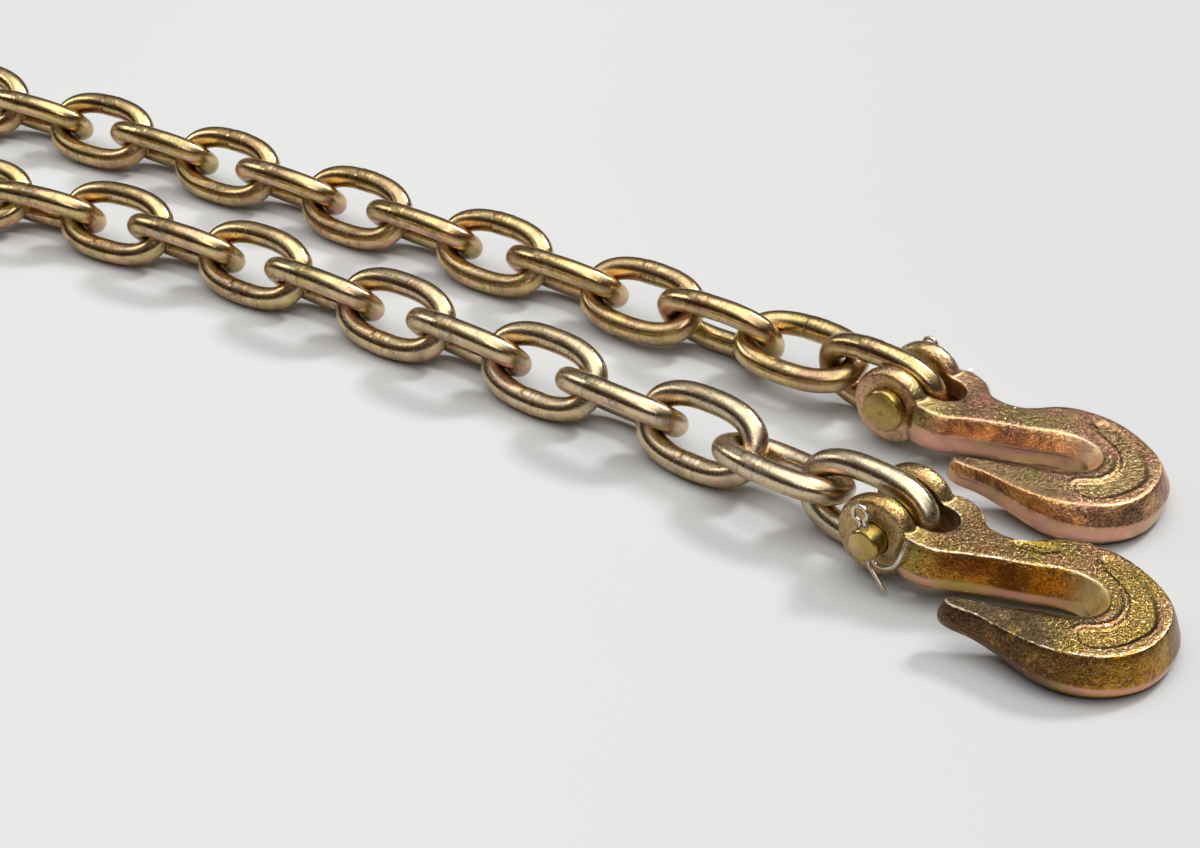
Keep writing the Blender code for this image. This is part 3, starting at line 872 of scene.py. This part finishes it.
def turned(name, profile, sides, sharp=None):
    """Turn a (y, radius) profile, which starts and ends on the Y axis, about that axis."""
    shape = bmesh.new()
    start, *middle, end = profile
    rings = []
    for y, radius in middle:
        turns = [Matrix.Rotation(2.0 * math.pi * side / sides, 3, "Y") for side in range(sides)]
        rings.append([shape.verts.new(turn @ Vector((radius, y, 0.0))) for turn in turns])
    ring_faces(shape, rings, closed=False)
    for (y, radius), ring in ((start, rings[0]), (end, rings[-1])):
        pole = shape.verts.new((radius, y, 0.0))
        for side in range(sides):
            shape.faces.new((ring[side - 1], ring[side], pole))
    return finish_mesh(shape, name, sharp)


def ear_body(sizes, side):
    inner = sizes.slot_half_width / MM
    outer = sizes.ear_face / MM
    reach = sizes.ear_radius / MM
    root = inner - EAR_OVERLAP
    profile = [(root, 0.0), (root, 10.8), (inner, 11.6)]
    middle = (inner + outer) / 2.0
    half = (outer - inner) / 2.0
    steps = 16
    for step in range(1, steps):
        angle = math.pi * step / steps
        across = middle - half * math.cos(angle)
        profile.append((across, reach - EAR_ROUNDING + EAR_ROUNDING * math.sin(angle) ** 0.8))
    profile += [(outer, 11.2), (outer, 0.0)]
    return turned("ear", [(side * y, radius) for y, radius in profile], sides=72)


def slot_body(sizes):
    half = sizes.slot_half_width / MM
    centre = sizes.slot_end / MM - half
    outline = [(-CUT_REACH, half), (-CUT_REACH, -half)]
    steps = 32
    for step in range(steps + 1):
        angle = -math.pi / 2.0 + math.pi * step / steps
        outline.append((centre + half * math.cos(angle), half * math.sin(angle)))
    shape = bmesh.new()
    rings = [[shape.verts.new((x, y, z)) for x, y in outline] for z in (-CUT_HEIGHT, CUT_HEIGHT)]
    ring_faces(shape, rings, closed=False)
    shape.faces.new(rings[0])
    shape.faces.new(list(reversed(rings[1])))
    return finish_mesh(shape, "slot")


def pin_hole_body(radius):
    profile = [(-CUT_REACH, 0.0), (-CUT_REACH, radius), (CUT_REACH, radius), (CUT_REACH, 0.0)]
    return turned("pin_hole", profile, sides=48)


def evaluated_mesh(item):
    graph = bpy.context.evaluated_depsgraph_get()
    return bpy.data.meshes.new_from_object(item.evaluated_get(graph))


def forged_skin(sizes, band_top):
    """Join body and ears, cut slot and pin hole, and rebuild it all as one forged skin."""
    pin = bpy.context.scene.pin_sizes
    meshes = [
        (hook_body(sizes, band_top), None),
        (ear_body(sizes, -1.0), "UNION"),
        (ear_body(sizes, 1.0), "UNION"),
        (slot_body(sizes), "DIFFERENCE"),
        (pin_hole_body(pin.radius / MM + PIN_PLAY), "DIFFERENCE"),
    ]
    helpers = []
    for mesh, operation in meshes:
        item = bpy.data.objects.new("forging_helper", mesh)
        bpy.context.scene.collection.objects.link(item)
        helpers.append(item)
        if operation:
            modifier = helpers[0].modifiers.new("join", "BOOLEAN")
            modifier.operation = operation
            modifier.solver = "EXACT"
            modifier.object = item
    skin = helpers[0].modifiers.new("skin", "REMESH")
    skin.mode = "VOXEL"
    skin.voxel_size = sizes.voxel / MM
    soften = helpers[0].modifiers.new("soften", "SMOOTH")
    soften.factor = 0.5
    soften.iterations = 4
    mesh = evaluated_mesh(helpers[0])
    for item in helpers:
        bpy.data.objects.remove(item, do_unlink=True)
    return mesh


# Outline of the crescent pad on a hook's flat, in the plane of its jaw, in millimetres
CRESCENT_PAD = (
    (63.5, -13.0), (66.0, -10.5), (69.5, -11.5), (75.4, -18.4), (79.4, -25.5), (81.4, -34.3),
    (80.6, -43.0), (77.1, -48.2), (72.6, -52.9), (66.8, -56.5), (60.3, -57.4), (57.2, -53.5),
    (58.0, -49.6), (63.3, -47.5), (68.6, -44.0), (71.6, -38.5), (72.3, -32.0), (70.8, -25.8),
    (67.2, -21.0), (64.4, -17.0),
)


def outline_distance(points, outline):
    """Signed distance from points to a closed outline, positive inside."""
    corners = np.array(outline)
    ends = np.roll(corners, -1, axis=0)
    nearest = np.full(len(points), 1e9)
    inside = np.zeros(len(points), dtype=bool)
    for start, end in zip(corners, ends):
        along = end - start
        share = np.clip(((points - start) @ along) / (along @ along), 0.0, 1.0)
        gap = points - start - share[:, None] * along
        nearest = np.minimum(nearest, np.hypot(gap[:, 0], gap[:, 1]))
        crosses = (start[1] > points[:, 1]) != (end[1] > points[:, 1])
        rise = np.where(crosses, (points[:, 1] - start[1]) / (end[1] - start[1] + 1e-12), 0.0)
        inside ^= crosses & (points[:, 0] < start[0] + rise * along[0])
    return np.where(inside, nearest, -nearest)


def smoothstep(values, low, high):
    share = np.clip((values - low) / (high - low), 0.0, 1.0)
    return share * share * (3.0 - 2.0 * share)


def write_attribute(mesh, name, values):
    layer = mesh.attributes.new(name, "FLOAT", "POINT")
    layer.data.foreach_set("value", values.astype(np.float32))


def carve_details(mesh, sizes, band_top, oval_pad):
    """Sink the bare pads, raise their lips and mark the zones of the finish."""
    thick = sizes.half_thickness / MM
    points = read_vectors(mesh.vertices, "co")
    normals = read_vectors(mesh.vertices, "normal")
    u, v = fork_to_jaw(points[:, 0], points[:, 1])
    jaw = np.stack([u, v], axis=1)
    flat = smoothstep(np.abs(normals[:, 2]), 0.80, 0.96)
    top = smoothstep(points[:, 2], thick - 1.6, thick - 0.6) * flat
    crescent = outline_distance(jaw, smooth_closed(CRESCENT_PAD, samples=6))
    pad = smoothstep(crescent, 0.1, 1.0) * top
    from_throat = np.hypot(u - THROAT_CENTRE[0], v - THROAT_CENTRE[1])
    collar = 1.0 - smoothstep(from_throat, 17.5, 20.5)
    lip = np.exp(-((crescent + 0.9) / 0.8) ** 2) * top * collar
    if oval_pad:
        along = (u - OVAL_PAD_CENTRE[0]) / OVAL_PAD_HALF[0]
        across = (v - OVAL_PAD_CENTRE[1]) / OVAL_PAD_HALF[1]
        oval = 1.0 - np.hypot(along, across)
        pad = np.maximum(pad, smoothstep(oval, 0.0, 0.3) * top)
    points[:, 2] += lip * LIP_HEIGHT - pad * sizes.pad_depth / MM
    upright = 1.0 - smoothstep(np.abs(normals[:, 2]), 0.20, 0.50)
    below = 1.0 - smoothstep(points[:, 2], (band_top - 0.04) * thick, (band_top + 0.06) * thick)
    past_ears = smoothstep(points[:, 0], 6.0, 14.0)
    saddle = smoothstep(u, 50.0, 62.0) * (1.0 - smoothstep(from_throat, 9.0, 15.0))
    arm = smoothstep(-v, 38.0, 46.0) * (1.0 - smoothstep(u, 44.0, 62.0))
    mesh.vertices.foreach_set("co", (points * MM).ravel())
    mesh.update()
    write_attribute(mesh, "flat", flat)
    write_attribute(mesh, "band", upright * below * past_ears)
    write_attribute(mesh, "pad", pad)
    write_attribute(mesh, "saddle", saddle * (1.0 - flat))
    write_attribute(mesh, "arm", arm)
    write_attribute(mesh, "body", smoothstep(points[:, 0], 15.0, 23.0))
    write_attribute(mesh, "edge", edge_sharpness(mesh))


def smooth_closed(points, samples):
    """Round off a closed outline, run past its start and end so that they meet smoothly."""
    lap = 3
    ring = list(points[-lap:]) + list(points) + list(points[:lap])
    curve = smooth_curve(ring, samples)
    return curve[lap * samples:-lap * samples]


def edge_sharpness(mesh):
    """How convex the skin is at each vertex, from 0 on a flat to 1 on an edge."""
    points = read_vectors(mesh.vertices, "co")
    normals = read_vectors(mesh.vertices, "normal")
    pairs = np.zeros(len(mesh.edges) * 2, dtype=np.int64)
    mesh.edges.foreach_get("vertices", pairs)
    first, second = pairs.reshape(-1, 2).T
    gap = points[second] - points[first]
    spread = np.sum((normals[second] - normals[first]) * gap, axis=1) / np.sum(gap * gap, axis=1)
    total = np.bincount(first, spread, len(points)) + np.bincount(second, spread, len(points))
    count = np.bincount(first, minlength=len(points)) + np.bincount(second, minlength=len(points))
    curvature = total / np.maximum(count, 1)
    for _ in range(2):
        summed = np.bincount(first, curvature[second], len(points))
        summed += np.bincount(second, curvature[first], len(points))
        curvature = 0.5 * curvature + 0.5 * summed / np.maximum(count, 1)
    return smoothstep(curvature * MM, 0.10, 0.45)


def hook_pose(joint_name):
    """Where a hook's pin axis is, from the record, with the hook pitched to the floor."""
    joint = next(item for item in RECORD["behaviour"]["joints"] if item["name"] == joint_name)
    across = -Vector(joint["axis"]).normalized()
    level = across.cross(Vector((0.0, 0.0, 1.0))).normalized()
    along = Matrix.Rotation(math.radians(HOOK_PITCH), 3, across) @ level
    return pose_matrix(Vector(joint["pos_m"]), along, across)


def fit_in_box(mesh, matrix, node):
    """Keep a fine skin within the box of the solid it stands for."""
    low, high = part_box(node)
    points = read_vectors(mesh.vertices, "co")
    turn = np.array(matrix)
    placed = points @ turn[:3, :3].T + turn[:3, 3]
    placed = np.clip(placed, np.array(low), np.array(high))
    points = (placed - turn[:3, 3]) @ turn[:3, :3]
    mesh.vertices.foreach_set("co", points.ravel())
    mesh.update()


class CHAIN_OT_forge_hooks(bpy.types.Operator):
    """Forge the two clevis grab hooks over the frame's hooks"""

    bl_idname = "chain.forge_hooks"
    bl_label = "Forge hooks"

    def execute(self, context):
        sizes = context.scene.hook_sizes
        colours = context.scene.plating_colours
        # each hook's saddle colour is a painted highlight in the throat's saddle, and its glint colour is
        # the colour of specks of painted highlight
        materials = {
            "far": make_hook_material(
                "plated_forging_copper",
                main=colours.copper, second=(0.60, 0.50, 0.22), third=(0.76, 0.45, 0.32),
                side=(0.80, 0.48, 0.29), saddle_highlight_colour=(0.98, 0.70, 0.46),
                painted_highlight_colour=(0.95, 0.72, 0.50), wear=0.25,
            ),
            "near": make_hook_material(
                "plated_forging_olive",
                main=colours.olive, second=(0.44, 0.34, 0.07), third=colours.bronze,
                side=(0.48, 0.26, 0.05), saddle_highlight_colour=(0.98, 0.76, 0.34),
                painted_highlight_colour=(0.95, 0.80, 0.45), wear=0.8,
            ),
        }
        for name, band_top in (("near", sizes.near_band_top), ("far", sizes.far_band_top)):
            mesh = forged_skin(sizes, band_top)
            carve_details(mesh, sizes, band_top, name == "near")
            pose = hook_pose(name + "_hook_swing")
            fit_in_box(mesh, pose, "hook_" + name)
            mesh.shade_smooth()
            mesh.transform(pose)
            hook = add_piece("forged_hook_" + name, mesh, materials[name])
            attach(hook, "hook_" + name)
            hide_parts("hook_" + name)
        return {"FINISHED"}


# Pins and cotters

def pin_profile(sizes, ear_face):
    """Half section of a headed pin from the head's dimple to the tail."""
    seat = ear_face + HEAD_GAP
    head_end = seat + sizes.head_thickness / MM
    tail = ear_face + sizes.sticks_out / MM
    head = sizes.head_radius / MM
    radius = sizes.radius / MM
    chamfer = sizes.chamfer / MM
    return [
        (head_end - 0.25, 0.0), (head_end - 0.2, 0.5), (head_end - 0.03, 1.1), (head_end, 1.5),
        (head_end, head - chamfer - 0.15), (head_end - 0.08, head - chamfer + 0.05),
        (head_end - chamfer, head - 0.08), (head_end - chamfer - 0.2, head),
        (seat + 0.25, head), (seat, head - 0.25), (seat, radius + 0.3), (seat - 0.3, radius),
        (-tail + chamfer + 0.1, radius), (-tail + chamfer - 0.05, radius - 0.08),
        (-tail + 0.08, radius - chamfer + 0.02), (-tail, radius - chamfer - 0.15), (-tail, 0.0),
    ]


class CHAIN_OT_fit_pins(bpy.types.Operator):
    """Fit a headed clevis pin through each hook's ears"""

    bl_idname = "chain.fit_pins"
    bl_label = "Fit pins"

    def execute(self, context):
        sizes = context.scene.pin_sizes
        ear_face = context.scene.hook_sizes.ear_face / MM
        material = make_pin_material()
        for name, cotter_side in (("near", -1.0), ("far", 1.0)):
            profile = [(-cotter_side * y, radius) for y, radius in pin_profile(sizes, ear_face)]
            mesh = turned("clevis_pin", profile, sides=96, sharp=35.0)
            mesh.transform(hook_pose(name + "_hook_swing") @ Matrix.Scale(MM, 4))
            pin = add_piece("clevis_pin_" + name, mesh, material)
            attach(pin, "hook_" + name)
            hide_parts("pin_" + name)
        return {"FINISHED"}


def cotter_path(pin, cotter_side):
    """Middle line of the split cotter: one leg, round the eye and down the other."""
    half = (pin.cotter_wire / MM + 0.4) / 2.0
    top = pin.radius / MM + 2.0
    eye = 2.6
    path = [
        (14.9, -0.2, 0.9), (13.4, 1.2, -2.4), (11.0, 1.5, -5.6), (7.6, 0.7, -7.8),
        (4.0, 0.2, -8.3), (half + 0.5, 0.0, -7.2), (half, 0.0, -5.0), (half, 0.0, 0.0),
        (half, 0.0, top - 0.8),
    ]
    centre = top + eye
    first = math.radians(-66.0)
    turn = 2.0 * math.pi - 2.0 * (math.pi / 2.0 + first)
    steps = 16
    for step in range(steps + 1):
        angle = first + turn * step / steps
        path.append((eye * math.cos(angle), 0.0, centre + eye * math.sin(angle)))
    path += [
        (-half, 0.0, top - 0.8), (-half, 0.0, 0.0), (-half, 0.0, -6.0), (-half + 0.4, 0.2, -8.4),
        (0.8, 0.6, -10.9), (2.3, 1.0, -13.4), (3.7, 1.4, -16.0),
    ]
    return [(x, cotter_side * out, z) for x, out, z in path]


def smooth_path(points, samples):
    """Read a smooth curve through points in space, its slopes taken from their neighbours."""
    knots = np.array(points)
    spans = np.linalg.norm(np.diff(knots, axis=0), axis=1)
    places = np.concatenate(([0.0], np.cumsum(spans)))
    slopes = np.gradient(knots, places, axis=0)
    curve = []
    for row, span in enumerate(spans):
        for part in range(samples):
            share = part / samples
            start_pull = (share ** 3 - 2.0 * share ** 2 + share) * span
            end_pull = (share ** 3 - share ** 2) * span
            blend = share * share * (3.0 - 2.0 * share)
            curve.append(
                knots[row] * (1.0 - blend) + knots[row + 1] * blend
                + slopes[row] * start_pull + slopes[row + 1] * end_pull
            )
    curve.append(knots[-1])
    return [Vector(point) for point in curve]


def wire_mesh(name, path, radius, sides):
    """A round wire along a path, kept from twisting, with domed ends."""
    normal = Vector((0.0, 1.0, 0.0))
    shape = bmesh.new()
    rings = []
    for index, point in enumerate(path):
        before = path[max(index - 1, 0)]
        after = path[min(index + 1, len(path) - 1)]
        tangent = (after - before).normalized()
        normal = (normal - tangent * normal.dot(tangent)).normalized()
        across = tangent.cross(normal)
        ring = []
        for side in range(sides):
            angle = 2.0 * math.pi * side / sides
            offset = normal * math.cos(angle) + across * math.sin(angle)
            ring.append(shape.verts.new((point + offset * radius) * MM))
        rings.append(ring)
    ring_faces(shape, rings, closed=False)
    shape.faces.new(rings[0])
    shape.faces.new(list(reversed(rings[-1])))
    return finish_mesh(shape, name, sharp=60.0)


class CHAIN_OT_fit_cotters(bpy.types.Operator):
    """Bend a bright split cotter through each pin's tail"""

    bl_idname = "chain.fit_cotters"
    bl_label = "Fit cotters"

    def execute(self, context):
        pin = context.scene.pin_sizes
        face = context.scene.hook_sizes.ear_face
        material = make_cotter_material()
        tilt = Matrix.Rotation(math.radians(COTTER_TURN), 4, "Y")
        for name, side in (("near", -1.0), ("far", 1.0)):
            path = smooth_path(cotter_path(pin, side), samples=3)
            mesh = wire_mesh("split_cotter", path, pin.cotter_wire / MM / 2.0, COTTER_SIDES)
            out = Matrix.Translation((0.0, side * (face + pin.sticks_out - pin.cotter_inset), 0.0))
            mesh.transform(hook_pose(name + "_hook_swing") @ out @ tilt)
            cotter = add_piece("split_cotter_" + name, mesh, material)
            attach(cotter, "hook_" + name)
            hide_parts("cotter_" + name)
        return {"FINISHED"}


# Stage

def add_aimed(name, data, place, target):
    """Put a light or camera in its place and turn it to its target."""
    item = bpy.data.objects.new(name, data)
    bpy.context.scene.collection.objects.link(item)
    item.location = place
    item.rotation_euler = (target - place).to_track_quat("-Z", "Y").to_euler()
    return item


def add_softbox(name, power, size, place, target):
    data = bpy.data.lights.new(name, "AREA")
    data.energy = power
    data.shape = "RECTANGLE"
    data.size = size[0]
    data.size_y = size[1]
    add_aimed(name, data, place, target)


def add_room(strength, away):
    """A dim brown room with a large soft light overhead, lighter behind the chain."""
    world = bpy.data.worlds.new("dim_room")
    world.use_nodes = True
    tree = world.node_tree
    direction = tree.nodes.new("ShaderNodeTexCoord").outputs["Generated"]
    height = add_node(tree, "ShaderNodeSeparateXYZ", Vector=direction).outputs["Z"]
    behind = ramp(tree, reach_along(tree, direction, away), -0.3, 0.7)
    wall = blend_colours(tree, behind, WALL_DARK, WALL_LIGHT)
    middle = blend_colours(tree, ramp(tree, height, 0.08, 0.50), WALL_FOOT, wall)
    ceiling = blend_colours(tree, ramp(tree, height, 0.50, 0.76), middle, CEILING)
    background = tree.nodes["Background"]
    overhead = blend_colours(tree, ramp(tree, height, 0.76, 0.88), ceiling, OVERHEAD)
    feed(tree, background.inputs["Color"], overhead)
    background.inputs["Strength"].default_value = strength
    bpy.context.scene.world = world


class CHAIN_OT_set_stage(bpy.types.Operator):
    """Put down the paper floor, hang the softboxes and place the camera"""

    bl_idname = "chain.set_stage"
    bl_label = "Set stage"

    def execute(self, context):
        scene = context.scene
        settings = scene.studio_settings
        shape = bmesh.new()
        bmesh.ops.create_grid(shape, x_segments=1, y_segments=1, size=FLOOR_SIZE * MM / 2.0)
        floor = add_piece("paper_floor", finish_mesh(shape, "paper_floor"), make_floor_material())

        place = Vector(CAMERA_PLACE) * MM
        aim = Vector(CAMERA_AIM) * MM
        up = Vector((0.0, 0.0, 1.0))
        away = aim - place
        away.z = 0.0
        away.normalize()
        right = away.cross(up)
        # size of each softbox, and how far behind the chain, to its right and over it, in metres
        softboxes = (
            ("key_softbox", settings.key_power, (0.55, 0.55), (1.14, 1.63, 2.10)),
            ("side_softbox", settings.side_power, (0.80, 0.50), (0.80, -1.90, 1.20)),
            ("front_softbox", settings.front_power, (0.50, 0.40), (-1.15, -0.15, 1.15)),
        )
        for name, power, size, (behind, aside, over) in softboxes:
            add_softbox(name, power, size, aim + (away * behind + right * aside + up * over), aim)
        add_room(settings.room, away)

        data = bpy.data.cameras.new("view")
        data.lens = settings.lens
        data.sensor_width = SENSOR_WIDTH
        data.clip_start = 0.01
        scene.camera = add_aimed("view", data, place, aim)
        scene.view_settings.view_transform = "Standard"
        scene.view_settings.look = "None"
        return {"FINISHED"}


# Panel

class CHAIN_PT_dressing(bpy.types.Panel):
    """Sizes, colours and steps of the chain's dressing"""

    bl_label = "Chain"
    bl_idname = "CHAIN_PT_dressing"
    bl_space_type = "VIEW_3D"
    bl_region_type = "UI"
    bl_category = "Chain"

    def draw(self, context):
        layout = self.layout
        for operator in OPERATORS:
            layout.operator(operator.bl_idname)
        for group in GROUPS:
            settings = getattr(context.scene, group)
            box = layout.box()
            for name in settings.bl_rna.properties.keys():
                if name not in ("rna_type", "name"):
                    box.prop(settings, name)


OPERATORS = (
    CHAIN_OT_dress_links,
    CHAIN_OT_forge_hooks,
    CHAIN_OT_fit_pins,
    CHAIN_OT_fit_cotters,
    CHAIN_OT_set_stage,
)
GROUPS = {
    "link_sizes": LinkSizes,
    "hook_sizes": HookSizes,
    "pin_sizes": PinSizes,
    "plating_colours": PlatingColours,
    "studio_settings": StudioSettings,
}


def register():
    for name, group in GROUPS.items():
        bpy.utils.register_class(group)
        setattr(bpy.types.Scene, name, PointerProperty(type=group))
    for item in (*OPERATORS, CHAIN_PT_dressing):
        bpy.utils.register_class(item)


def unregister():
    for item in reversed((*OPERATORS, CHAIN_PT_dressing)):
        bpy.utils.unregister_class(item)
    for name, group in GROUPS.items():
        delattr(bpy.types.Scene, name)
        bpy.utils.unregister_class(group)


def write_sizes():
    """Bring the view layer up to date."""
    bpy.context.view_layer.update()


def main():
    register()
    bpy.ops.chain.set_stage()
    bpy.ops.chain.dress_links()
    bpy.ops.chain.forge_hooks()
    bpy.ops.chain.fit_pins()
    bpy.ops.chain.fit_cotters()
    write_sizes()


if __name__ == "__main__":
    main()
